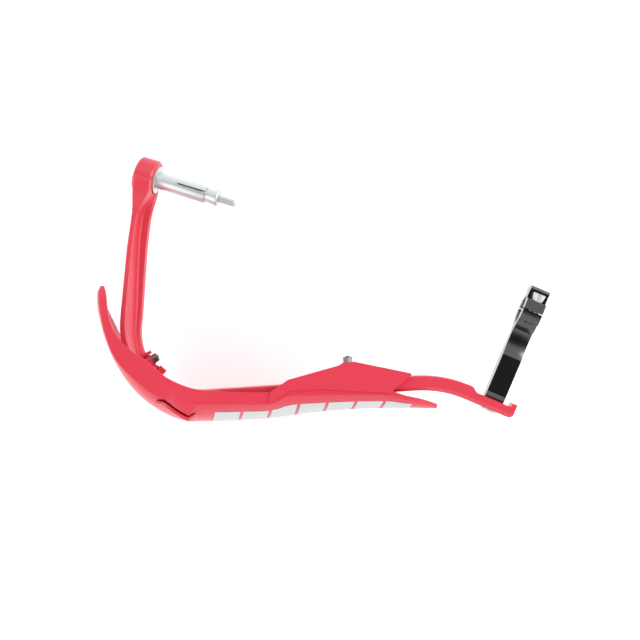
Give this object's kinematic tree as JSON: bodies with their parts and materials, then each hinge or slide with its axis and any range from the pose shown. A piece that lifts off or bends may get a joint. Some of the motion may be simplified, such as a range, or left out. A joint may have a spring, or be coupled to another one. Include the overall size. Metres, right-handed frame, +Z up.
{
  "type": "motorcycle hand guard",
  "caption": "Closed hand guard for one handlebar end: a bent rail from a slotted expander in the tube's open end to a split clamp, with a curved shield over its front.",
  "frame": {"origin": "middle of the clamp bore, on the handlebar's axis", "axes": "+X along the clamp bore, inboard; +Y rearward, to the rider; +Z up"},
  "size_m": [0.353, 0.2072, 0.114],
  "materials": {
    "red_nylon": "injection moulded nylon, red, satin gloss",
    "pale_film": "pale grey-white film blocks, plain",
    "black_anodised": "black anodised aluminium, satin",
    "zinc_steel": "zinc plated steel, bright",
    "dull_steel": "zinc plated steel, dull grey"
  },
  "bodies": {
    "root": {"main_bar": "red_nylon", "shield": "red_nylon", "shield_blocks": "pale_film", "clamp_body": "black_anodised", "clamp_cap": "black_anodised", "clamp_screw_upper": "zinc_steel", "clamp_screw_lower": "zinc_steel", "seat_bolt": "zinc_steel", "seat_washer": "zinc_steel", "bar_end_bolt": "zinc_steel", "bolt_head_washer": "zinc_steel", "eye_washer": "zinc_steel", "expander_sleeve": "zinc_steel", "cone_nut": "zinc_steel", "outer_shield_stud": "dull_steel", "outer_shield_washer": "dull_steel", "outer_shield_nut": "dull_steel", "inner_shield_stud": "dull_steel", "inner_shield_washer": "dull_steel", "inner_shield_nut": "dull_steel"}
  },
  "joints": []
}
